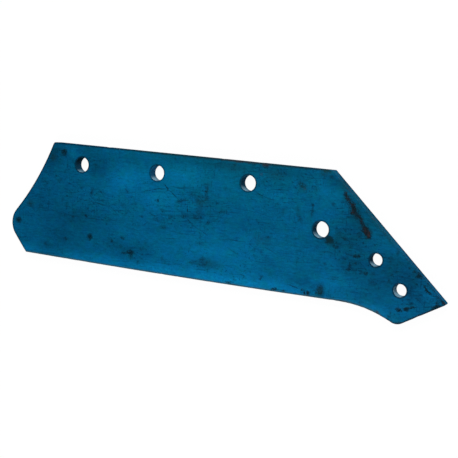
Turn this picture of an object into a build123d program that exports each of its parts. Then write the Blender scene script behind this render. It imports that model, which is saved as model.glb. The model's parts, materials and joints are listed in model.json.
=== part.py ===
from build123d import *
import math
import os

os.makedirs("parts", exist_ok=True)

# A flat steel plough share, lying on its frog side, with its soil side up.
# +X runs along the back edge to the point and +Y from the cutting edge to the back edge.
# The origin is the front bolt hole of the back row, on the frog side.

# Flat bar
plate_thickness = 12.0
share_width = 131.5

# Back edge, with a row of three bolt holes
back_margin = 22.4
rear_margin = 39.7
rear_pitch = 97.5
front_pitch = 109.5
front_margin = 91.8

# Point edge, which slants from the back edge down to the tip
point_edge_angle = 43.1
point_edge_length = 174.0

# Cutting edge, slightly bowed by the forging, and the hollow curve under the nose
heel_offset = 31.6
edge_bow = 1.3
nose_curve_start = 109.8
nose_curve_radius = 122.5
nose_curve_turn = 30.1

# Heel, hollow above and straight below its round
heel_start_angle = 21.0
heel_curve_radius = 305.0
heel_curve_turn = 21.5

# Corner rounds
heel_round = 22.5
back_corner_round = 3.0
heel_corner_round = 1.8
nose_round = 12.0
front_corner_round = 1.0
tip_round = 1.2

# Bolt holes
main_hole_diameter = 17.0
point_hole_diameter = 13.0
nose_hole_x = 84.5
nose_hole_below_row = 38.9
point_hole_margin = 25.2
point_hole_start = 96.7
point_hole_pitch = 38.3
point_hole_slant = 1.6

# Forged and ground cutting edge
edge_land = 4.0
bevel_width = 24.0
roll_width = 15.0
roll_drop = 0.6
tool_overhang = 2.0
tool_run_out = 30.0

# Corners of the outline
back_y = back_margin
edge_y = back_y - share_width
rear_hole_x = -(rear_pitch + front_pitch)
back_corner = Vector(rear_hole_x - rear_margin, back_y)
front_corner = Vector(front_margin, back_y)
heel_corner = Vector(back_corner.X - heel_offset, edge_y)
edge_middle = Vector((heel_corner.X + nose_curve_start) / 2, edge_y - edge_bow)
edge_end = Vector(nose_curve_start, edge_y)

# Direction of the point edge, and the direction across it into the plate
point_edge_dir = Vector(1, 0).rotate(Axis.Z, -point_edge_angle)
point_edge_inward = Vector(1, 0).rotate(Axis.Z, -point_edge_angle - 90)

# Bolt hole centres
row_holes = [(rear_hole_x, 0), (-front_pitch, 0), (0, 0)]
nose_hole = (nose_hole_x, -nose_hole_below_row)
point_hole_dir = point_edge_dir.rotate(Axis.Z, -point_hole_slant)
upper_point_hole = front_corner + point_edge_dir * point_hole_start + point_edge_inward * point_hole_margin
lower_point_hole = upper_point_hole + point_hole_dir * point_hole_pitch
point_holes = [upper_point_hole, lower_point_hole]

# Line of the cutting edge, from the heel to the nose
with BuildLine() as cutting_edge:
    straight = ThreePointArc(heel_corner, edge_middle, edge_end)
    nose_curve = JernArc(edge_end, straight % 1, nose_curve_radius, -nose_curve_turn)

# Plan outline
with BuildSketch() as outline:
    with BuildLine():
        add(cutting_edge.line)
        nose_corner = nose_curve @ 1
        point_edge = PolarLine(front_corner, point_edge_length, -point_edge_angle)
        tip = point_edge @ 1
        Line(nose_corner, tip)
        Line(front_corner, back_corner)
        heel_dir = Vector(0, -1).rotate(Axis.Z, -heel_start_angle)
        heel_curve = JernArc(back_corner, heel_dir, heel_curve_radius, -heel_curve_turn)
        heel_peak = heel_curve @ 1
        Line(heel_peak, heel_corner)
    make_face()
    rounds = [
        (heel_peak, heel_round),
        (back_corner, back_corner_round),
        (heel_corner, heel_corner_round),
        (nose_corner, nose_round),
        (front_corner, front_corner_round),
        (tip, tip_round),
    ]
    for corner, radius in rounds:
        fillet(outline.vertices().sort_by_distance(corner)[0], radius)

# Path of the grinding cut, run out past both ends of the cutting edge
with BuildLine() as grind_path:
    lead_in_dir = straight % 0
    Line(heel_corner - lead_in_dir * tool_run_out, heel_corner)
    add(cutting_edge.line)
    Line(nose_corner, nose_corner + (nose_curve % 1) * tool_run_out)

# Plate, bolt holes and cutting edge
roll_radius = (roll_width**2 + roll_drop**2) / (2 * roll_drop)
bevel_rise = plate_thickness - edge_land
bevel_slope = bevel_rise / bevel_width
section_plane = Plane(
    origin=grind_path.line @ 0,
    x_dir=Vector(0, 0, 1).cross(grind_path.line % 0),
    z_dir=grind_path.line % 0,
)

with BuildPart() as share:
    extrude(outline.sketch, amount=plate_thickness)
    with Locations(*row_holes, nose_hole):
        Hole(main_hole_diameter / 2)
    with Locations(*point_holes):
        Hole(point_hole_diameter / 2)
    with BuildSketch(section_plane) as edge_cut:
        # Ground bevel on the frog side
        with BuildLine():
            Polyline(
                (bevel_width, 0),
                (-tool_overhang, bevel_rise + bevel_slope * tool_overhang),
                (-tool_overhang, -tool_overhang),
                (bevel_width, -tool_overhang),
                close=True,
            )
        make_face()
        # Forged roll on the soil side
        roll_drop_outside = roll_radius - math.sqrt(roll_radius**2 - (roll_width + tool_overhang) ** 2)
        with BuildLine():
            RadiusArc(
                (roll_width, plate_thickness),
                (-tool_overhang, plate_thickness - roll_drop_outside),
                -roll_radius,
            )
            Polyline(
                (-tool_overhang, plate_thickness - roll_drop_outside),
                (-tool_overhang, plate_thickness + tool_overhang),
                (roll_width, plate_thickness + tool_overhang),
                (roll_width, plate_thickness),
            )
        make_face()
    sweep(path=grind_path.line, mode=Mode.SUBTRACT)

share.part.label = "share_plate"
export_step(share.part, "parts/share_plate.step")
print("volume cm3", round(share.part.volume / 1000, 1), "size", share.part.bounding_box().size)
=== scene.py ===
import bpy
import json
import numpy as np
from math import atan2, cos, degrees, hypot, radians, sin
from mathutils import Euler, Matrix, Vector, noise
from mathutils.bvhtree import BVHTree


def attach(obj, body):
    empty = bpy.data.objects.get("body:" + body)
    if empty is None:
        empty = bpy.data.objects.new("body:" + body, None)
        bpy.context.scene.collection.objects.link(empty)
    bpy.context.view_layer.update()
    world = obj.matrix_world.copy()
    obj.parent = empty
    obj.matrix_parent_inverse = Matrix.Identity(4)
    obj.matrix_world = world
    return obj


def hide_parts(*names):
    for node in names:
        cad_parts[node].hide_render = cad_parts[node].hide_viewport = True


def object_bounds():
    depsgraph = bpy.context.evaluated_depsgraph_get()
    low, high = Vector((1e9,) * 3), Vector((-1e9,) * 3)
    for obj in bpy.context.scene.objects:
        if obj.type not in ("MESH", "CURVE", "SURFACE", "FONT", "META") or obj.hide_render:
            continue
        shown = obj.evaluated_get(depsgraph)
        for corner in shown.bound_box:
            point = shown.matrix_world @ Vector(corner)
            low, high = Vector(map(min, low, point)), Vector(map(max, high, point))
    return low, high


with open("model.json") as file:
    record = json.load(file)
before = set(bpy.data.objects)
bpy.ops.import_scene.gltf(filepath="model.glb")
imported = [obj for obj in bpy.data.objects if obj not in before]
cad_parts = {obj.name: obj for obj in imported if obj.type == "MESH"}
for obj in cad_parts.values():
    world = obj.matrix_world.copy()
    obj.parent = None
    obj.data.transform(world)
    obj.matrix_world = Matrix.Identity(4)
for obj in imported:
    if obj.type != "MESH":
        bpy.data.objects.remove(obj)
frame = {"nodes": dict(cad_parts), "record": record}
cadLow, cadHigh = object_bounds()

mm = 0.001
cadPlate = frame["nodes"]["share_plate"]
plateTop = cadHigh.z
bores = [mount for mount in frame["record"]["mounts"] if mount["kind"] == "bore"]


# Small tools

def selectOnly(piece):
    for other in bpy.context.selected_objects:
        other.select_set(False)
    piece.select_set(True)
    bpy.context.view_layer.objects.active = piece


def srgb(red, green, blue):  # a colour as a picture shows it, from 0 to 255
    linear = []
    for part in (red, green, blue):
        part = part / 255
        linear.append(part / 12.92 if part <= 0.04045 else ((part + 0.055) / 1.055) ** 2.4)
    return (*linear, 1.0)


def setRamp(ramp, stops):  # each stop's place and colour
    while len(ramp.elements) < len(stops):
        ramp.elements.new(1.0)
    for element, (position, color) in zip(ramp.elements, stops):
        element.position = position
        element.color = color


class Wire:  # a socket's value, as it stands in an expression
    def __init__(self, paint, socket):
        self.paint = paint
        self.socket = socket

    def math(self, operation, *values, clamp=False):
        sockets = dict(enumerate(values))
        return self.paint.node("ShaderNodeMath", {"operation": operation, "use_clamp": clamp}, sockets)

    def __add__(self, other):
        return self.math("ADD", self, other)

    def __sub__(self, other):
        return self.math("SUBTRACT", self, other)

    def __rsub__(self, other):
        return self.math("SUBTRACT", other, self)

    def __mul__(self, other):
        return self.math("MULTIPLY", self, other)

    __radd__ = __add__
    __rmul__ = __mul__

    def most(self, other):
        return self.math("MAXIMUM", self, other)

    def clamped(self):
        return self.math("ADD", self, 0.0, clamp=True)

    def step(self, start, end):  # 0 before start, 1 after end, smooth between
        settings = {"interpolation_type": "SMOOTHSTEP"}
        sockets = {"Value": self, "From Min": start, "From Max": end}
        if start > end:
            sockets.update({"From Min": end, "From Max": start, "To Min": 1.0, "To Max": 0.0})
        return self.paint.node("ShaderNodeMapRange", settings, sockets)


class Paint:  # one material and its nodes
    def __init__(self, name):
        self.material = bpy.data.materials.new(name)
        self.material.use_nodes = True
        self.tree = self.material.node_tree
        self.tree.nodes.clear()

    def node(self, kind, settings=None, sockets=None, output=None):
        made = self.tree.nodes.new(kind)
        for name, value in (settings or {}).items():
            if name == "stops":
                setRamp(made.color_ramp, value)
            else:
                setattr(made, name, value)
        for name, value in (sockets or {}).items():
            socket = made.inputs[name]
            if isinstance(value, Wire):
                self.tree.links.new(value.socket, socket)
            else:
                socket.default_value = value
        if output is None:
            output = [socket.enabled for socket in made.outputs].index(True)
        return Wire(self, made.outputs[output])

    def show(self, shader):
        end = self.tree.nodes.new("ShaderNodeOutputMaterial")
        self.tree.links.new(shader.socket, end.inputs["Surface"])

    def mix(self, factor, low, high, how="MIX"):  # colours
        settings = {"data_type": "RGBA", "blend_type": how, "clamp_factor": True}
        return self.node("ShaderNodeMix", settings, {"Factor": factor, 6: low, 7: high}, 2)

    def noise(self, place, size, detail, roughness, output="Fac"):  # size of a blotch in mm
        sockets = {"Vector": place, "Scale": 1 / size, "Detail": detail, "Roughness": roughness}
        return self.node("ShaderNodeTexNoise", {"noise_dimensions": "3D"}, sockets, output)


# Camera and light

view = {
    "place": (0.429876, 0.074438, 0.974514),
    "turn": (-4.62832, 25.385723, 4.908157),  # degrees
    "lens": 79.319,  # mm, on a sensor of the next width
    "sensor": 36.0,
}

studio = {  # sizes in m
    "key": {"place": (0.25, 1.15, 1.25), "size": 0.9, "watts": 25.0},
    "fill": {"place": (0.15, -1.3, 1.0), "size": 1.2, "watts": 20.0},
    "floor": 60.0,
    "floorGlow": 0.965,
    "floorColor": (0.04, 0.04, 0.04, 1.0),
    "floorRough": 0.9,
    "floorGloss": 0.1,
    "room": [(0.0, 0.03), (0.002, 0.6), (0.6, 0.04)],  # glow from below the horizon to overhead
}


def setCamera():
    camera = bpy.data.objects.new("camera", bpy.data.cameras.new("camera"))
    camera.location = view["place"]
    camera.rotation_euler = Euler([radians(angle) for angle in view["turn"]])
    camera.data.lens = view["lens"]
    camera.data.sensor_width = view["sensor"]
    bpy.context.collection.objects.link(camera)
    bpy.context.scene.camera = camera


def softLight(name, facts):
    lamp = bpy.data.lights.new(name, "AREA")
    lamp.shape = "DISK"
    lamp.size = facts["size"]
    lamp.energy = facts["watts"]
    light = bpy.data.objects.new(name, lamp)
    light.location = facts["place"]
    light.rotation_euler = (-Vector(facts["place"])).to_track_quat("-Z", "Y").to_euler()
    bpy.context.collection.objects.link(light)


def setStudio():
    softLight("key", studio["key"])
    softLight("fill", studio["fill"])

    bpy.ops.mesh.primitive_plane_add(size=studio["floor"], location=(0, 0, 0))
    floor = bpy.context.object
    floor.name = "floor"
    white = Paint("pale_floor")
    shader = white.node("ShaderNodeBsdfPrincipled", sockets={
        "Base Color": studio["floorColor"],
        "Roughness": studio["floorRough"],
        "Specular IOR Level": studio["floorGloss"],
        "Emission Color": (1.0, 1.0, 1.0, 1.0),
        "Emission Strength": studio["floorGlow"],
    })
    white.show(shader)
    floor.data.materials.append(white.material)
    floor.visible_glossy = False

    # the room is pale at the horizon, and dark overhead and below, where the plate would mirror it
    world = bpy.data.worlds.new("studio")
    world.use_nodes = True
    tree = world.node_tree
    where = tree.nodes.new("ShaderNodeTexCoord")
    parts = tree.nodes.new("ShaderNodeSeparateXYZ")
    ramp = tree.nodes.new("ShaderNodeValToRGB")
    setRamp(ramp.color_ramp, [(height, (glow, glow, glow, 1.0)) for height, glow in studio["room"]])
    tree.links.new(where.outputs["Generated"], parts.inputs[0])
    tree.links.new(parts.outputs["Z"], ramp.inputs[0])
    tree.links.new(ramp.outputs["Color"], tree.nodes["Background"].inputs["Color"])
    bpy.context.scene.world = world
    bpy.context.scene.view_settings.view_transform = "Standard"


setCamera()
setStudio()
print("camera and studio are set")


# The worn plate

wornPlate = {
    # how its mesh is cut
    "weld": 0.001,                  # mm
    "flat": 1.0,                    # degrees, below which neighbouring faces count as one
    "sharp": 35.0,                  # degrees
    "wornRound": 0.5,               # mm, round left on each sheared edge
    "roundCuts": 2,                 # faces across that round
    "cell": 4.0,                    # mm, grid that the faces are cut into
    "cuts": 2,                      # cuts in each cell of the face and the walls
    "plainGrid": -0.2,              # a face that points down more than this keeps the plain grid

    # how it is worn, in mm
    "bow": (0.16, 70.0),            # depth and length of the slow waves left by rolling
    "skin": (0.04, 5.0),            # the same for the scale-pitted skin
    "frogShare": 0.5,               # share of both on the frog side
    "edgeRough": (0.08, 3.5),       # how far sheared edges are eaten back, and how often
    "nick": (0.7, 9.0),             # the same for the deeper nicks
    "nickFrom": 0.35,               # level of their pattern where they start, so that they are few
    "nickShift": (31, 7, 3),        # sets their pattern apart from the others
    "reach": 3.0,                   # how far in from an edge its damage goes
    "dent": 0.16,                   # depth under a mark of strength 1
    "dented": 0.85,                 # a mark stronger than this has a dent under it

    "level": 0.5,                   # a corner that looks up or down more than this is on a face
    "frogFlat": 0.5,                # the frog side is worn up to this height, and the bevel is not

    # which faces are walls, and which walls are the cutting edge
    "upright": 0.1,                 # a wall looks up or down less than this
    "clearOfBores": 0.5,            # mm, past which a wall belongs to the outline
    "edgeFacing": -0.7,             # how far they look towards -Y
    "edgeEnd": 0.15,                # m along X, where they end
}

# Marks on the soil side, in mm: x, y, half length, half width, turn in degrees, strength
chips = [
    (-232.2, 12.1, 5.0, 4.8, 0, 2.0), (-290.6, -72.6, 5.6, 4.8, 20, 1.8),
    (-190.6, -80.7, 5.0, 4.8, 0, 1.9), (-223.6, -86.4, 5.0, 2.8, 0, 0.84),
    (-197.8, -57.3, 3.4, 2.2, -20, 1.1), (-215.0, -59.8, 3.4, 2.4, 25, 0.8),
    (-216.7, -65.5, 3.2, 3.0, 60, 0.45), (-224.4, -49.2, 3.2, 2.2, 0, 0.6),
    (-230.3, -41.5, 4.4, 1.8, 85, 0.4), (-236.1, -20.9, 5.0, 3.0, 20, 0.5),
    (-257.2, -22.0, 4.4, 3.4, 0, 0.4), (-275.0, -51.4, 6.0, 5.4, 30, 0.7),
    (-250.6, -96.4, 5.0, 3.4, -30, 0.5), (-191.7, -29.5, 6.6, 3.2, 75, 0.75),
    (-188.3, 1.9, 3.6, 3.0, 0, 0.5), (-178.3, -8.7, 5.0, 4.4, 0, 0.35),
    (-228.3, -8.0, 5.0, 3.0, -30, 0.35), (-227.2, -15.9, 2.4, 1.8, 0, 0.4),
    (-249.8, -47.5, 3.4, 2.0, 70, 0.4), (-228.3, -72.0, 3.4, 2.6, 0, 0.45),
    (-246.5, 4.5, 5.5, 4.6, 60, 0.75), (-106.1, -29.8, 2.6, 2.5, 0, 1.3),
    (-145.6, -23.7, 4.4, 2.8, -30, 0.75), (-149.7, -39.8, 4.6, 3.6, 0, 0.35),
    (-125.3, -49.6, 3.0, 2.4, 20, 0.7), (-148.0, -76.4, 4.6, 2.6, 0, 0.95),
    (-161.1, -81.8, 3.0, 3.0, 0, 1.0), (-149.2, -85.9, 3.4, 2.4, 0, 0.6),
    (-135.8, -91.2, 6.2, 3.4, 0, 1.7), (-143.5, -93.2, 6.4, 2.4, 12, 1.0),
    (-135.0, -95.0, 3.0, 4.0, 0, 0.8), (-121.4, -92.0, 2.8, 2.2, 0, 0.6),
    (-125.8, -100.9, 4.4, 2.6, 20, 0.5), (-122.5, -86.0, 5.0, 3.2, 40, 0.5),
    (-118.0, -77.5, 4.4, 2.2, 50, 0.4), (-89.2, -46.4, 3.6, 2.8, 20, 0.84),
    (-72.5, -43.1, 9.0, 3.4, 10, 0.75), (-57.5, -43.6, 6.6, 2.0, -5, 0.75),
    (-43.0, -47.0, 3.2, 2.6, 0, 0.95), (-99.2, -39.8, 4.0, 3.2, 0, 0.4),
    (-77.5, -27.2, 8.0, 3.2, 20, 0.75), (-75.0, -12.4, 3.6, 2.0, 80, 0.8),
    (-47.8, -13.6, 13.0, 2.2, 86, 0.5), (-55.3, -36.6, 8.6, 4.4, 70, 0.2),
    (-57.0, -25.3, 9.0, 4.0, -50, 0.4), (-64.7, -18.7, 7.0, 3.0, -10, 0.5),
    (-46.5, -86.4, 4.6, 4.0, 40, 0.65), (-44.7, -92.0, 9.0, 4.6, 10, 0.5),
    (-59.0, -92.0, 6.0, 4.0, 0, 0.45), (-95.8, -93.0, 4.6, 2.4, 80, 0.45),
    (-50.3, -70.3, 7.0, 2.4, 5, 0.55), (-106.0, -51.0, 7.0, 3.0, -20, 0.6),
    (-94.7, -58.0, 4.4, 4.0, 0, 0.35), (18.9, 19.4, 4.0, 3.0, 0, 1.2), (-17.2, 17.4, 2.2, 1.8, 0, 0.7),
    (-18.9, 12.5, 6.0, 4.0, 0, 0.35), (60.0, 4.2, 7.0, 5.0, -30, 0.8), (75.6, 1.3, 5.0, 4.4, 0, 0.55),
    (96.1, -11.4, 2.8, 2.4, 0, 0.7), (73.3, -14.8, 2.8, 2.6, 0, 0.8), (73.8, -21.0, 7.5, 2.2, 88, 0.84),
    (61.0, -30.0, 8.0, 3.6, -60, 0.6), (58.5, -21.5, 4.4, 3.4, 0, 0.4), (42.2, -24.2, 6.5, 4.4, 30, 0.4),
    (91.1, 15.8, 4.6, 3.2, -30, 0.5), (82.2, 16.9, 4.4, 2.6, -20, 0.5), (1.1, -48.7, 3.0, 2.4, 0, 0.4),
    (27.8, -53.7, 3.4, 2.6, 0, 0.65), (48.3, -49.8, 3.2, 2.4, 0, 0.4), (82.2, -57.0, 3.0, 2.4, 0, 0.45),
    (21.1, -70.2, 3.4, 3.6, 0, 0.4), (85.6, -72.0, 2.4, 2.0, 0, 0.6), (92.2, -73.1, 2.8, 2.2, 0, 0.55),
    (93.9, -77.6, 2.4, 1.8, 30, 0.45), (23.2, -97.3, 4.4, 2.2, 50, 1.0),
    (-6.7, -103.3, 3.6, 1.4, -10, 0.6), (-14.0, -107.6, 5.0, 1.6, 0, 1.2),
    (38.9, -107.0, 6.0, 2.0, 4, 1.6), (49.5, -107.4, 4.0, 1.2, 0, 1.1), (76.7, -106.4, 2.4, 3.8, 0, 1.8),
    (72.8, -106.4, 2.0, 3.0, 0, 1.6), (70.4, -103.7, 2.8, 2.2, 0, 1.3), (89.4, -102.6, 7.0, 7.0, 0, 1.2),
    (90.0, -96.5, 5.6, 5.0, 0, 0.7), (94.6, -48.2, 6.4, 5.4, -20, 2.4),
    (101.0, -54.0, 5.4, 2.4, -10, 0.84), (104.0, -42.0, 7.0, 7.0, 0, 0.5),
    (111.4, -44.8, 3.6, 3.0, 0, 0.8), (118.0, -50.5, 5.0, 4.0, 0, 0.4), (126.0, -40.0, 3.4, 4.6, 0, 0.7),
    (123.4, -61.2, 2.8, 2.3, 0, 1.9), (127.3, -60.7, 2.7, 2.2, 0, 1.8), (124.9, -67.8, 2.4, 2.0, 0, 1.0),
    (118.6, -71.5, 2.6, 3.6, 0, 0.8), (118.0, -75.5, 3.2, 3.0, 0, 1.1), (136.4, -77.0, 2.8, 2.4, 0, 1.7),
    (131.5, -77.0, 2.8, 2.0, 0, 0.7), (143.6, -76.4, 2.6, 2.2, 0, 0.5), (143.5, -85.0, 5.5, 5.0, 0, 0.4),
    (160.6, -81.4, 2.0, 2.0, 0, 0.95), (163.3, -74.4, 2.0, 1.9, 0, 0.7), (154.2, -70.9, 2.2, 2.0, 0, 0.4),
    (166.4, -50.9, 2.4, 4.4, 0, 0.6), (160.0, -60.0, 6.0, 4.4, 40, 0.4), (179.7, -65.3, 2.0, 1.8, 0, 0.8),
    (185.3, -68.1, 2.4, 2.2, 0, 1.4), (189.9, -71.4, 4.8, 3.0, -45, 1.7),
    (194.6, -71.0, 6.2, 2.2, -43, 1.5), (210.5, -96.5, 3.0, 7.0, 0, 0.8),
    (217.6, -94.6, 4.2, 3.6, 0, 1.7), (209.4, -100.0, 5.4, 2.8, 30, 1.6),
    (172.8, -108.4, 4.2, 2.5, -15, 2.3), (180.4, -106.5, 4.2, 2.9, 15, 2.5),
    (187.0, -104.0, 5.0, 1.6, 25, 1.5), (199.8, -85.2, 7.0, 1.7, -44, 2.2),
    (205.0, -82.6, 12.0, 2.6, -43, 0.8), (213.0, -91.4, 8.0, 3.2, -43, 0.9),
    (112.0, -8.0, 11.0, 6.0, -55, 0.75), (121.0, -20.0, 11.0, 7.0, -50, 0.7),
    (131.0, -33.0, 11.0, 7.0, -60, 0.85), (165.3, -112.6, 2.0, 1.7, 0, 0.95),
    (163.8, -116.4, 4.0, 1.6, -20, 0.6), (138.6, -98.7, 2.2, 2.0, 0, 0.5),
    (112.0, -6.0, 10.0, 5.0, -55, 0.35), (119.0, -15.0, 8.0, 7.0, -60, 0.4),
    (126.0, -25.0, 10.0, 5.0, -55, 0.35), (133.0, -36.0, 9.0, 6.4, -60, 0.4),
    (103.0, -51.0, 9.0, 5.0, -30, 0.45), (190.0, -113.8, 21.0, 2.0, 31, 1.2),
    (209.0, -102.4, 14.0, 2.4, 31, 1.2), (206.0, -93.0, 3.0, 6.0, -20, 0.4),
    (174.0, -121.6, 7.0, 2.2, 10, 0.9), (-94.6, -16.6, 3.2, 1.8, -40, 0.8),
    (-74.0, -32.0, 5.0, 4.0, 0, 0.4), (-26.0, -33.6, 9.0, 3.0, 5, 0.45), (-22.0, -43.0, 5.0, 3.0, 0, 0.3),
    (-98.0, -58.5, 6.0, 3.0, 0, 0.4), (-25.6, -9.0, 3.0, 4.0, 0, 0.35), (-33.5, -17.5, 4.0, 4.0, 0, 0.3),
    (-46.6, -21.5, 3.0, 2.4, 0, 0.5), (-49.0, -13.4, 2.6, 1.8, 0, 0.6), (192.0, -94.5, 4.0, 3.0, 0, 0.4),
    (103.5, -86.0, 6.0, 2.0, 0, 0.45), (105.5, -99.5, 2.0, 4.0, 0, 0.4),
]

# The long streak of rust and scale beside the point edge, in the same way
rustStreak = [
    (109.0, -2.4, 6.4, 3.0, -58, 1.3), (106.8, 0.4, 4.4, 3.4, 0, 0.5), (113.6, -8.6, 6.0, 3.2, -50, 0.9),
    (117.2, -12.4, 4.6, 3.4, -60, 1.1), (118.0, -16.6, 4.4, 4.0, -70, 1.6),
    (122.6, -20.6, 6.0, 3.2, -35, 0.9), (127.0, -25.4, 6.0, 3.4, -60, 0.95),
    (130.6, -30.8, 5.4, 3.8, -50, 1.0), (133.2, -35.2, 6.4, 4.4, -62, 1.7),
    (135.6, -39.8, 4.6, 3.8, -50, 1.3), (137.8, -35.0, 3.4, 3.4, 0, 0.6),
    (114.6, -18.2, 3.6, 3.4, 0, 0.5), (121.0, -13.0, 4.0, 2.4, -50, 0.5),
    (128.0, -33.0, 4.0, 3.0, -50, 0.5),
]

# Scratches, in mm: from x, y to x, y, and strength
scratches = [
    (-282, -55.6, -246, -54.4, 0.7), (-248, -54.6, -232, -58.2, 0.9), (-236, -58.0, -205, -59.6, 0.7),
    (-207, -59.4, -166, -59.8, 0.9), (-172, -60.0, -150, -56.6, 0.6), (-214, -38.4, -193, -40.0, 0.6),
    (-197, -39.2, -164, -44.4, 1.2), (-231, -31.8, -221, -34.6, 0.8), (-226.7, -98, -226.7, -107, 0.8),
    (-153, -26.4, -124, -22.4, 0.6), (-127, -22.8, -109, -17.4, 1.1), (-112, -18.0, -97, -16.0, 1.4),
    (-120, -22.2, -94, -18.0, 0.7), (-101, -10, -93, -17.6, 1.8), (-95, -15.6, -77, -28.2, 1.5),
    (-91, -13.0, -75, -13.8, 1.1), (-77, -13.6, -62, -11.2, 0.9), (-79, -27.8, -66, -24.6, 1.2),
    (-69.3, -30, -68.6, -42, 1.9), (-42.5, -2, -42.5, -10, 0.8), (-45, -3, -44.5, -9, 0.6),
    (-70, -44.6, -60, -52.2, 1.1), (-62, -51.2, -51, -56.6, 0.9), (-53, -55.6, -41, -61.4, 1.1),
    (-90, -45.6, -71, -42.2, 0.9), (-73, -42.8, -32, -36.8, 0.8), (-100, -60.8, -46, -63.2, 0.7),
    (-124, -60.0, -117, -54.2, 1.2), (-142, -61.0, -123, -59.0, 0.7), (-93, -70.4, -79, -68.6, 0.9),
    (-50.3, -59, -50.3, -66, 0.9), (-120, -42.6, -100, -50.2, 1.1), (-113, -50.8, -101, -53.0, 1.2),
    (-111, -48.4, -101, -43.6, 1.0), (8, -7.6, 23, -13.4, 1.3), (21, -12.6, 32, -15.6, 1.0),
    (-34, -33.2, -5, -32.4, 0.8), (-24, -62.6, -16, -61.2, 1.0), (-18, -61.4, -3, -62.2, 1.3),
    (25, -64.6, 38, -70.0, 0.9), (43, -68.8, 58, -67.4, 0.8), (-20, -69.6, -5, -76.6, 0.8),
    (85, -62.2, 97, -60.2, 1.2), (53, -99.6, 66, -102.8, 1.9), (-2, -96.6, 6, -98.6, 1.2),
    (3, -94.0, 6, -90.6, 0.9), (95, -53.4, 107, -55.0, 1.0), (112, -60.9, 132, -60.3, 1.3),
    (92, -87.6, 112, -87.8, 0.9), (195.6, -81.0, 204.2, -89.4, 3.4), (196.6, -82.6, 203.4, -87.6, 3.4),
    (170, -107.8, 190, -103.0, 1.2), (-166, -104.6, -120, -99.4, 0.6), (-110, -99.0, -60, -95.6, 0.6),
    (40, -16.4, 58, -13.6, 0.6), (-20, -27, 20, -30, 0.5), (120, -52.0, 138, -50.0, 0.6),
    (131, -23.6, 142, -26.4, 0.8), (140, -36.2, 156, -36.8, 0.7), (110, -18, 112.5, -38, 0.7),
    (99, -92, 101, -105, 0.5), (206, -88, 213, -97, 0.8),
]

# Clouds where the paint is fresher or duller, placed like the marks, with their tone
clouds = [
    (-252, -40, 80, 100, 0, -0.16), (-250, 4, 22, 20, 0, -0.22), (-198, 8, 30, 18, 0, -0.16),
    (-222, 13, 14, 8, -20, 0.22), (-150, -11, 44, 20, 5, 0.30), (-140, 14, 24, 8, 0, -0.1),
    (-78, 0, 36, 16, 0, 0.26), (-112, -30, 34, 20, 0, 0.16), (-30, -4, 40, 20, 0, 0.08),
    (-215, -82, 70, 30, 0, -0.18), (-15, -80, 95, 36, 0, 0.20), (36, -82, 18, 18, 80, -0.04),
    (-60, -78, 26, 14, 0, 0.08), (30, -9, 24, 8, -20, 0.14), (88, 2, 22, 16, 0, 0.14),
    (104, -94, 30, 16, 0, 0.24), (15, -43, 46, 14, 0, -0.07), (-20, 17, 120, 8, 0, -0.16),
    (-60, -42, 34, 9, 0, -0.10), (-60, -22, 28, 12, -10, -0.10), (118, -44, 34, 34, 0, -0.26),
    (86, -50, 26, 16, 0, -0.12), (120, -20, 30, 16, -45, -0.10), (185, -84, 60, 38, -40, -0.26),
    (72, -92, 24, 16, 0, -0.12), (-140, -88, 36, 14, 0, -0.20), (-10, -104, 110, 12, 0, 0.16),
    (124, -70, 22, 14, 0, -0.14), (-44, -90, 22, 9, 0, -0.14), (48, 15, 34, 10, 0, -0.12),
    (138, -14, 44, 14, -43, -0.28), (98, 10, 22, 12, 0, -0.32), (155, -80, 60, 40, 0, -0.16),
    (105, -104, 44, 14, 0, -0.22), (-178, -2, 26, 24, 0, -0.24), (-248, -106, 26, 14, 0, -0.2),
    (-92, -22, 50, 30, 0, 0.14), (-205, -58, 60, 18, 0, -0.16), (30, -83, 26, 14, 0, -0.14),
    (-105, -104, 24, 12, 0, 0.14), (175, -104, 26, 16, 0, 0.2), (205, -88, 22, 18, 0, 0.26),
    (-240, 15, 26, 16, 0, -0.2), (-200, 20, 20, 8, 0, -0.15),
]

# Where fine scratches and specks of dirt gather
dirtPlaces = [
    (118, -55, 36, 28, 0, 1.5), (112, -20, 22, 28, 0, 1.3), (-60, -35, 52, 32, 0, 1.4),
    (-180, -45, 60, 26, 0, 1.0), (40, 8, 80, 18, 0, 1.0), (80, -105, 34, 12, 0, 1.0),
    (-130, -90, 40, 18, 0, 1.0), (195, -85, 32, 32, 0, 1.0), (-30, -95, 60, 12, 0, 0.8),
    (-255, -30, 30, 40, 0, 0.7),
]

# Where the blue leans towards green, or away from it
greenPlaces = [
    (-10, 6, 170, 40, 0, 0.55), (-60, 20, 160, 16, 0, 0.3), (132, -16, 44, 26, -45, 0.7),
    (110, -45, 40, 26, 0, 0.25), (-270, -50, 60, 70, 0, -0.45), (-100, -100, 200, 30, 0, -0.2),
    (190, -95, 50, 36, 0, -0.5), (90, -100, 60, 24, 0, -0.25), (-140, -14, 40, 26, 0, -0.2),
]

# Bare, rusty places on the edges
rustPlaces = [
    (-10, 22.4, 34, 2.2, 0, 0.7), (19, 20.6, 6, 2.6, 0, 0.8), (14.4, 10.8, 2.4, 2.0, 0, 0.4),
    (64.0, 0.4, 2.0, 1.6, 0, 0.5), (151.9, -114.2, 4, 1.5, -22, 1.2), (114.7, -108.4, 8, 1.3, 0, 0.8),
    (112, 3.4, 8, 1.2, -43, 0.3), (138, -20.8, 5, 1.4, -43, 0.5), (217.8, -95.0, 3, 2, 0, 0.8),
    (76.7, -108.4, 3, 1.6, 0, 0.7), (-8, -109.4, 5, 1.2, 0, 0.8), (20, -109.6, 6, 1.2, 0, 0.6),
]

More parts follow.
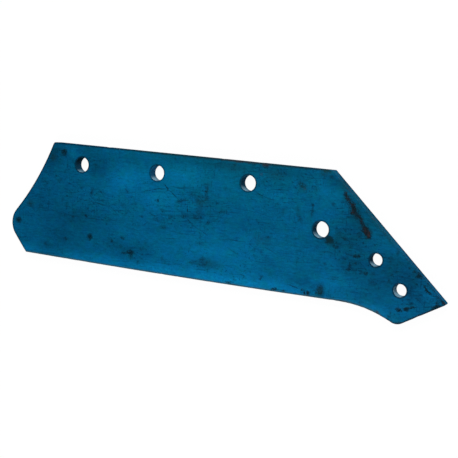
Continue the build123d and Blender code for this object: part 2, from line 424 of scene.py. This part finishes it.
# Greenish, muddy places
mudPlaces = [
    (-60, 22.4, 90, 3.0, 0, 0.9), (30, 22.4, 60, 3.2, 0, 0.9), (-130, 22.4, 60, 2.0, 0, 0.6),
    (62, 2.4, 9, 6.6, -30, 0.4), (-55.3, -37.0, 9, 6, 60, 0.25), (-47.3, -12, 12, 3.0, 88, 0.3),
    (95, -48.6, 7, 6.0, 0, 0.4), (-246.5, 4.5, 8, 6, 60, 0.45), (84, 18, 8, 4, 0, 0.35),
    (89.4, -101, 5.0, 7.0, 0, 0.5), (108.5, 6.0, 17.0, 7.0, -43, 0.5), (150, -34, 30, 3.0, -43, 0.5),
    (85.5, 21.6, 11.0, 3.6, 0, 1.1), (30, 12, 16, 8, 0, 0.35), (20, -58, 16, 9, 0, 0.3),
    (-20, 15, 30, 7, 0, 0.35), (-52, -26, 12, 9, 0, 0.4), (-40, -90, 22, 8, 0, 0.35),
    (-275, -50, 9, 8, 0, 0.35),
]

# Places on the holes' walls that are rubbed bright, bare steel with a painted highlight where the light
# falls, still painted, or in painted shade
rubbedAndLitWalls = [
    (-210.0, -8.4, 5.0, 4.0, -25, 1.1), (-113.5, -7.6, 7.0, 5.0, -25, 1.5),
    (-4.0, -8.0, 7.0, 5.0, -25, 1.2), (80.5, -46.6, 7.4, 5.4, -25, 1.25),
    (142.5, -67.5, 5.5, 4.5, -25, 1.7), (169.8, -94.6, 6.4, 5.4, -25, 2.6),
    (166.0, -89.5, 4.4, 6.0, 0, 1.2),
]
paintedWalls = [(-117.0, 2.0, 6.0, 9.0, 0, 2.2)]
# painted shade on a hole's wall that faces away from the light
shadedWalls = [(-213.0, 5.0, 7.0, 7.0, 0, 1.8)]


def cutGrid(axis, cell):
    normal = [0, 0, 0]
    normal[axis] = 1
    low, high = cadLow[axis], cadHigh[axis]
    count = int((high - low) / cell)
    for step in range(1, count + 1):
        place = [0, 0, 0]
        place[axis] = low + step * (high - low) / (count + 1)
        bpy.ops.mesh.select_all(action="SELECT")
        bpy.ops.mesh.bisect(plane_co=place, plane_no=normal)


def cutManySided():
    bpy.ops.mesh.select_all(action="DESELECT")
    bpy.ops.mesh.select_face_by_sides(number=4, type="GREATER")
    bpy.ops.mesh.quads_convert_to_tris()


def makePlateMesh():
    plate = bpy.data.objects.new("worn_share", cadPlate.data.copy())
    plate.data.materials.clear()
    bpy.context.collection.objects.link(plate)
    selectOnly(plate)
    bpy.ops.object.mode_set(mode="EDIT")
    bpy.ops.mesh.select_mode(type="EDGE")
    bpy.ops.mesh.select_all(action="SELECT")
    bpy.ops.mesh.remove_doubles(threshold=wornPlate["weld"] * mm)
    bpy.ops.mesh.dissolve_limited(angle_limit=radians(wornPlate["flat"]))
    bpy.ops.mesh.select_all(action="DESELECT")
    bpy.ops.mesh.edges_select_sharp(sharpness=radians(wornPlate["sharp"]))
    wornRound = wornPlate["wornRound"] * mm
    bpy.ops.mesh.bevel(offset=wornRound, segments=wornPlate["roundCuts"], affect="EDGES")
    for axis in (0, 1, 2):
        cutGrid(axis, wornPlate["cell"] * mm)
    bpy.ops.mesh.select_mode(type="FACE")
    cutManySided()
    bpy.ops.object.mode_set(mode="OBJECT")
    for face in plate.data.polygons:
        face.select = face.normal.z > wornPlate["plainGrid"]
    bpy.ops.object.mode_set(mode="EDIT")
    bpy.ops.mesh.subdivide(number_cuts=wornPlate["cuts"])
    cutManySided()
    bpy.ops.object.mode_set(mode="OBJECT")
    return plate


def wallTree(keep):  # some of the plate's upright walls, to measure from
    corners = [corner.co for corner in cadPlate.data.vertices]
    walls = []
    for face in cadPlate.data.polygons:
        if abs(face.normal.z) < wornPlate["upright"] and keep(face):
            walls.append(tuple(face.vertices))
    return BVHTree.FromPolygons(corners, walls)


def boreDistance(place):  # mm from the nearest bolt hole's wall
    gaps = []
    for bore in bores:
        middle = bore["pos_m"]
        gaps.append(hypot(place.x - middle[0], place.y - middle[1]) / mm - bore["dims"]["r_mm"])
    return min(gaps, key=abs)


def onOutline(face):
    return boreDistance(face.center) > wornPlate["clearOfBores"]


def onCuttingEdge(face):
    facing = face.normal.y < wornPlate["edgeFacing"]
    return onOutline(face) and facing and face.center.x < wornPlate["edgeEnd"]


def listDents():  # the deeper marks, with their turn as a direction
    dents = []
    for x, y, long, wide, turn, strength in chips + rustStreak:
        if strength > wornPlate["dented"]:
            dents.append((x, y, long, wide, cos(radians(turn)), sin(radians(turn)), strength))
    return dents


def dentDepth(place, dents):  # mm
    depth = 0.0
    for x, y, long, wide, turnX, turnY, strength in dents:
        dx, dy = place.x / mm - x, place.y / mm - y
        along = dx * turnX + dy * turnY
        across = dy * turnX - dx * turnY
        near = 1 - hypot(along / long, across / wide)
        if near > 0:
            depth = max(depth, near * near * (3 - 2 * near) * strength)
    return depth * wornPlate["dent"]


def ripple(spot, wave):  # from 0 to the wave's depth
    depth, length = wave
    return depth * (0.5 + 0.5 * noise.noise(spot / length))


def nick(spot):
    depth, length = wornPlate["nick"]
    height = noise.noise(spot / length + Vector(wornPlate["nickShift"]))
    return depth * max(0.0, height - wornPlate["nickFrom"])


def wearPlate(plate):
    outline = wallTree(onOutline)
    cuttingEdge = wallTree(onCuttingEdge)
    dents = listDents()
    level = wornPlate["level"]
    gaps = {"edgeGap": [], "cuttingGap": [], "boreGap": []}  # mm, for the paint
    places = []
    for corner in plate.data.vertices:
        place = corner.co
        spot = place / mm
        nearest = outline.find_nearest(place)
        outwards, edgeGap = nearest[1], nearest[3] / mm
        gaps["edgeGap"].append(edgeGap)
        gaps["cuttingGap"].append(cuttingEdge.find_nearest(place)[3] / mm)
        gaps["boreGap"].append(boreDistance(place))

        sink = ripple(spot, wornPlate["bow"]) + ripple(spot, wornPlate["skin"])
        move = Vector((0, 0, 0))
        if corner.normal.z > level:
            move.z = -(sink + dentDepth(place, dents)) * mm
        elif corner.normal.z < -level and spot.z < wornPlate["frogFlat"]:
            move.z = sink * wornPlate["frogShare"] * mm
        near = max(0.0, 1 - edgeGap / wornPlate["reach"])
        if near > 0:
            move -= outwards * (ripple(spot, wornPlate["edgeRough"]) + nick(spot)) * near * near * mm
        places.append(place + move)
    plate.data.vertices.foreach_set("co", np.array(places).ravel())
    for name, values in gaps.items():
        layer = plate.data.attributes.new(name, "FLOAT", "POINT")
        layer.data.foreach_set("value", values)
    plate.data.update()


plate = makePlateMesh()
print("plate is cut:", len(plate.data.vertices), "points")
wearPlate(plate)
selectOnly(plate)
bpy.ops.object.shade_smooth_by_angle(angle=radians(wornPlate["sharp"]))
print("plate is worn:", len(plate.data.polygons), "faces")


# Finish

finish = {
    # colours
    "tones": [  # from the dullest paint to the freshest
        (0.0, srgb(0, 42, 64)),
        (0.25, srgb(0, 62, 93)),
        (0.5, srgb(0, 82, 120)),
        (0.75, srgb(1, 101, 148)),
        (1.0, srgb(3, 122, 175)),
    ],
    "tints": [(1.0, 0.97, 1.015, 1.0), (1.0, 1.03, 0.86, 1.0)],  # away from green, and towards it
    # dark grime on chips, scratches and rims, and the painted shade on one hole's wall
    "grime": srgb(1, 30, 42),
    "cuttingEdge": srgb(46, 88, 100),
    "scale": srgb(12, 24, 30),
    "mud": srgb(14, 52, 56),
    "rust": srgb(50, 37, 40),
    # the holes' walls: the blue paint darkened, a painted shade inside the holes
    "bore": srgb(1, 60, 86),
    "paintedBore": srgb(0, 84, 124),
    # bare steel as it looks where the light falls on it, a painted highlight on the rubbed walls
    "steel": srgb(126, 166, 186),

    # how deep each kind of mark goes into the plate, in mm
    "depth": {"chips": 7.0, "scratches": 3.0, "mud": 12.0, "bores": 16.0, "clouds": 40.0},

    # how fresh the paint is, from 0 to 1, where it is lighter or darker by the edges, and the painted shade
    # at the foot of the walls
    "fresh": 0.515,
    "cloudy": 0.82,
    "patterns": [  # what each is read from, its size in mm, detail, roughness and strength
        ("place", 34.0, 3.0, 0.6, 0.12),
        ("grained", 9.0, 4.0, 0.65, 0.28),
        ("grained", 2.4, 2.0, 0.8, 0.46),
        ("place", 1.0, 2.0, 0.8, 0.42),
    ],
    "bands": {  # mm from the edge where each starts and is full, and how much lighter it makes the paint there, darker below 0
        "cuttingGap": (15.0, 4.0, 0.16),
        "edgeGap": (2.4, 0.3, -0.34),
        "boreGap": (2.4, 0.3, -0.42),
    },
    "wallTone": (0.10, -0.40),      # how much lighter the walls are, and how much darker their foot is besides, a painted shade
    "green": (9.0, 4.0, 0.6, 3.0, 0.4),     # size in mm, detail, roughness, strength, and usual level

    # dirt: size in mm, detail, roughness, the levels where it starts and is full, and strength
    "dullness": (22.0, 2.0, 0.5, 0.36, 0.62, 0.7),
    "film": (4.5, 5.0, 0.75, 0.52, 0.70, 0.26),
    "specks": (2.4, 2.0, 0.5, 0.60, 0.68, 0.32),
    "hairs": {  # by their turn in degrees
        6.0: (1.6, 2.0, 0.5, 0.60, 0.68, 0.24),
        -38.0: (1.6, 2.0, 0.5, 0.64, 0.70, 0.168),
        88.0: (1.6, 2.0, 0.5, 0.62, 0.70, 0.192),
    },
    "hairStretch": (14.0, 0.8, 4.0),
    "rustPatches": (3.4, 2.0, 0.5, 0.46, 0.64, 0.6),

    # flaking rims: mm from the edge where they start and are full, and their flakes as above
    "shearedRim": (1.5, 0.2, (3.0, 3.0, 0.7, 0.32, 0.52, 0.85)),
    "cuttingRim": (2.8, 0.8, (4.0, 3.0, 0.7, 0.28, 0.58, 0.75)),
    "wallRim": 0.7,                 # how much of the sheared rim is missing on the walls

    # the point edge keeps its paint up to the corner
    "pointCorner": (91.8, 22.4),    # mm, where it starts at the back edge
    "pointSlant": 43.1,             # degrees
    "pointBand": (-4.5, -3.0),      # mm beyond it where the rim starts to go, and is gone

    # grit, and how marks break up in it: what follows the grit, and what stays whole
    "grit": (1.3, 3.0, 0.7),        # size in mm, detail, roughness
    "bite": (0.32, 0.68),           # levels of grit where paint starts to break, and is broken
    "broken": {
        "chips": (1.26, 0.27),
        "scratches": (0.88, 0.16),
        "rustStreak": (1.3, 0.4),
        "mud": (1.2, 0.3),
        "rustPlaces": (1.6, 0.1),
        "rubbedAndLitWalls": (0.8, 0.6),
    },

    # how marks are drawn
    "scratchWidth": 0.8,            # mm, half
    "scratchLonger": 1.25,          # scratches fade out before their ends, so they are drawn longer
    "waver": (9.0, 2.0, 0.5, 2.4),  # size in mm, detail, roughness, and how far things stray, in mm
    "fray": (2.4, 3.0, 0.6, 5.0),
    "grain": (0.4, 1.0, 1.0),       # draws patterns out along the plate
    "wallTurn": (0.75, 0.45),       # how far a face looks up or down, from the face to a wall
    "shadedFoot": (5.0, 1.0),             # mm up a wall where the painted shade at its foot has faded out, and where it is full
    "streakScale": (0.04, 1.05),    # levels where rust starts to go black, and is black
    "boreRim": (1.2, 0.6),          # mm from a hole's wall where its paint starts and is full

    # surface
    "roughness": 0.4,
    "gloss": 0.05,
    "rougher": {"grit": 0.12, "grime": 0.15, "rust": 0.3},
    "relief": {"grain": (1.1, 3.0, 0.6, 0.3), "grime": 0.8, "rust": 0.6},
    "bump": 0.5,
    "bumpHeight": 0.1,              # mm
}


def blots(paint, place, marks, kind):  # soft ellipses on the soil side
    total = 0.0
    for x, y, long, wide, turn, strength in marks:
        inside = paint.node("ShaderNodeMapping", {"vector_type": "TEXTURE"}, {
            "Vector": place,
            "Location": (x, y, plateTop / mm),
            "Rotation": (0, 0, radians(turn)),
            "Scale": (long, wide, finish["depth"][kind]),
        })
        spot = paint.node("ShaderNodeTexGradient", {"gradient_type": "SPHERICAL"}, {"Vector": inside}, "Fac")
        total = spot.math("MULTIPLY_ADD", spot, strength, total)
    return total


def scratchLines(paint, place):  # each one thins out towards its ends
    marks = []
    for x1, y1, x2, y2, strength in scratches:
        long = hypot(x2 - x1, y2 - y1) / 2 * finish["scratchLonger"]
        turn = degrees(atan2(y2 - y1, x2 - x1))
        marks.append(((x1 + x2) / 2, (y1 + y2) / 2, long, finish["scratchWidth"], turn, strength))
    return blots(paint, place, marks, "scratches")


def astray(paint, place, start, facts):  # moves start about by a noise that is read at place
    size, detail, roughness, reach = facts
    drift = paint.noise(place, size, detail, roughness, "Color")
    drift = paint.node("ShaderNodeVectorMath", {"operation": "SUBTRACT"}, {0: drift, 1: (0.5, 0.5, 0.5)})
    drift = paint.node("ShaderNodeVectorMath", {"operation": "SCALE"}, {0: drift, "Scale": reach})
    return paint.node("ShaderNodeVectorMath", {"operation": "ADD"}, {0: start, 1: drift})


def streaks(paint, place, turn):  # stretches a pattern along one direction
    facts = {"Vector": place, "Rotation": (0, 0, radians(turn)), "Scale": finish["hairStretch"]}
    return paint.node("ShaderNodeMapping", {"vector_type": "TEXTURE"}, facts)


def patches(paint, place, facts):
    size, detail, roughness, start, full, strength = facts
    return paint.noise(place, size, detail, roughness).step(start, full) * strength


def breakUp(marks, grit, kind):
    follows, stays = finish["broken"][kind]
    return marks * (grit * follows + stays)


def flakingRim(paint, place, gap, facts):
    start, full, flakes = facts
    return gap.step(start, full) * patches(paint, place, flakes)


def keptRim(paint, place):  # 1 away from the point edge, 0 along it
    slant = radians(finish["pointSlant"])
    across = (sin(slant), cos(slant), 0)
    reach = finish["pointCorner"][0] * across[0] + finish["pointCorner"][1] * across[1]
    beyond = paint.node("ShaderNodeVectorMath", {"operation": "DOT_PRODUCT"}, {0: place, 1: across}) - reach
    return 1.0 - beyond.step(*finish["pointBand"])


def readPlate(paint):  # all that the paint goes by, with places in mm
    here = paint.node("ShaderNodeTexCoord", output="Object")
    face = paint.node("ShaderNodeTexCoord", output="Normal")
    up = paint.node("ShaderNodeSeparateXYZ", sockets={0: face}, output="Z")
    place = paint.node("ShaderNodeVectorMath", {"operation": "SCALE"}, {0: here, "Scale": 1 / mm})
    loose = astray(paint, place, place, finish["waver"])
    grit = paint.noise(place, *finish["grit"])
    at = {
        "place": place,
        "loose": loose,                                             # wavers, for long marks
        "ragged": astray(paint, place, loose, finish["fray"]),      # frays, for chips and rust
        "grained": paint.node(
            "ShaderNodeVectorMath", {"operation": "MULTIPLY"}, {0: place, 1: finish["grain"]}),
        "wall": up.math("ABSOLUTE", up).step(*finish["wallTurn"]),
        # painted shade: 1 at the foot of a wall, 0 higher up
        "shadedFoot": paint.node("ShaderNodeSeparateXYZ", sockets={0: place}, output="Z").step(*finish["shadedFoot"]),
        "keptRim": keptRim(paint, place),
        "grit": grit,
        "bite": grit.step(*finish["bite"]),
    }
    for name in ("edgeGap", "cuttingGap", "boreGap"):
        at[name] = paint.node("ShaderNodeAttribute", {"attribute_name": name}, output="Fac")
    return at


def paintTone(paint, at):  # how light the paint is, from 0 to 1: how fresh it is, lighter and darker by the edges, with painted shade at the foot of the walls
    place, loose, wall = at["place"], at["loose"], at["wall"]
    tone = blots(paint, place, clouds, "clouds") * finish["cloudy"] + finish["fresh"]
    for where, size, detail, roughness, strength in finish["patterns"]:
        tone = tone + (paint.noise(at[where], size, detail, roughness) - 0.5) * strength

    dull = patches(paint, place, finish["dullness"]) + blots(paint, loose, dirtPlaces, "clouds")
    dirty = patches(paint, place, finish["specks"]) + patches(paint, at["grained"], finish["film"])
    for turn, facts in finish["hairs"].items():
        dirty = dirty + patches(paint, streaks(paint, loose, turn), facts)
    tone = tone - dirty * dull.clamped()

    for gap, (start, full, strength) in finish["bands"].items():
        band = at[gap].step(start, full) * strength
        if gap == "edgeGap":
            band = band * (1.0 - wall) * at["keptRim"]
        tone = tone + band
    # walls are lighter, and darker at their foot, a painted shade
    onWalls, footShade = finish["wallTone"]
    return tone + wall * (at["shadedFoot"] * footShade + onWalls)


def bluePaint(paint, at):
    tone = paintTone(paint, at)
    color = paint.node("ShaderNodeValToRGB", {"stops": finish["tones"]}, {"Fac": tone}, "Color")
    size, detail, roughness, strength, usual = finish["green"]
    green = (paint.noise(at["place"], size, detail, roughness) - 0.5) * strength
    green = green + blots(paint, at["place"], greenPlaces, "clouds") + usual
    tint = paint.mix(green.clamped(), *finish["tints"])
    return paint.mix(1.0, color, tint, "MULTIPLY")


def grimyPaint(paint, at, color):  # scratches, chips and smudges, and flaking rims
    place, bite = at["place"], at["bite"]
    grime = breakUp(blots(paint, at["ragged"], chips, "chips"), bite, "chips")
    lines = breakUp(scratchLines(paint, at["loose"]), bite, "scratches")
    rim = flakingRim(paint, place, at["edgeGap"], finish["shearedRim"])
    rim = rim * (1.0 - at["wall"] * finish["wallRim"]) * at["keptRim"]
    dark = grime.most(lines).most(rim).clamped()
    color = paint.mix(dark, color, finish["grime"])
    rubbed = flakingRim(paint, place, at["cuttingGap"], finish["cuttingRim"])
    return paint.mix(rubbed, color, finish["cuttingEdge"]), dark


def rustyPaint(paint, at, color):  # scale, mud and rust where the paint is gone
    ragged = at["ragged"]
    rusty = breakUp(blots(paint, ragged, rustStreak, "chips"), at["bite"], "rustStreak")
    color = paint.mix(rusty.step(*finish["streakScale"]), color, finish["scale"])
    muddy = breakUp(blots(paint, ragged, mudPlaces, "mud"), at["bite"], "mud")
    color = paint.mix(muddy.clamped(), color, finish["mud"])
    bare = breakUp(blots(paint, ragged, rustPlaces, "chips"), at["grit"], "rustPlaces")
    red = (rusty - 0.5) * patches(paint, at["place"], finish["rustPatches"])
    red = red.most(bare).clamped()
    return paint.mix(red, color, finish["rust"]), red


def boreWalls(paint, at, color):  # dark, a painted shade inside the holes, and rubbed bright on one side, bare steel with a painted highlight
    loose = at["loose"]
    # bare steel with a painted highlight on the side of each hole that the light falls on
    shine = breakUp(blots(paint, loose, rubbedAndLitWalls, "bores"), at["grit"], "rubbedAndLitWalls")
    metal = paint.mix(shine.clamped(), finish["bore"], finish["steel"])
    metal = paint.mix(blots(paint, loose, paintedWalls, "bores").clamped(), metal, finish["paintedBore"])
    # painted shade: the grime colour darkens the shaded place on a hole's wall
    metal = paint.mix(blots(paint, loose, shadedWalls, "bores").clamped(), metal, finish["grime"])
    return paint.mix(at["wall"] * at["boreGap"].step(*finish["boreRim"]), color, metal)


def wornPaint():
    paint = Paint("worn_blue_paint")
    at = readPlate(paint)
    color = bluePaint(paint, at)
    color, dark = grimyPaint(paint, at, color)
    color, red = rustyPaint(paint, at, color)
    color = boreWalls(paint, at, color)

    rougher, relief = finish["rougher"], finish["relief"]
    rough = finish["roughness"] + (at["grit"] - 0.5) * rougher["grit"]
    rough = rough + dark * rougher["grime"] + red * rougher["rust"]
    size, detail, roughness, strength = relief["grain"]
    height = paint.noise(at["grained"], size, detail, roughness) * strength
    height = height - dark * relief["grime"] - red * relief["rust"]
    bump = paint.node("ShaderNodeBump", sockets={
        "Height": height,
        "Strength": finish["bump"],
        "Distance": finish["bumpHeight"] * mm,
    })
    shader = paint.node("ShaderNodeBsdfPrincipled", sockets={
        "Base Color": color,
        "Roughness": rough.clamped(),
        "Specular IOR Level": finish["gloss"],
        "Normal": bump,
    })
    paint.show(shader)
    return paint.material


plate.data.materials.append(wornPaint())
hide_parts("share_plate")
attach(plate, "root")
print("plate is painted")
